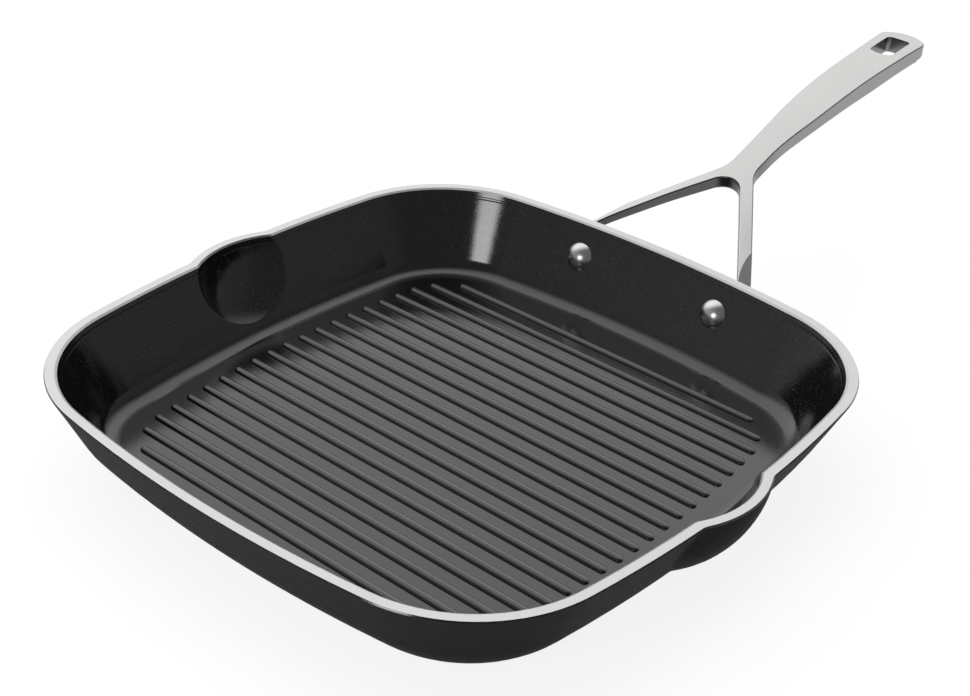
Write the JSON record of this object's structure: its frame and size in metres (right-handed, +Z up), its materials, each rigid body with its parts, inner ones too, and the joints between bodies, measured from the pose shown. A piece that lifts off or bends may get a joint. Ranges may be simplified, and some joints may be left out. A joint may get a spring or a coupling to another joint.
{
  "type": "grill pan",
  "caption": "Square non-stick grill pan with a ribbed floor, leaning walls, a pouring spout on each side and a long forked steel handle with a hanging hole.",
  "frame": {"origin": "centre of the flat underside that the pan stands on", "axes": "+Z up, square to the underside; +Y towards the end of the handle; +X towards the right-hand spout, seen from the pan towards the handle"},
  "size_m": [0.2932, 0.4965, 0.0901],
  "materials": {
    "pan_coating": "cast aluminium with a black non-stick coating inside, matte dark grey outside, and a bare machined rim",
    "base_plate": "brushed magnetic steel plate",
    "handle_steel": "satin cast stainless steel",
    "rivet_steel": "polished stainless steel"
  },
  "bodies": {
    "root": {"pan_body": "pan_coating", "induction_base": "base_plate", "handle": "handle_steel", "rivet_left": "rivet_steel", "rivet_right": "rivet_steel"}
  },
  "joints": []
}
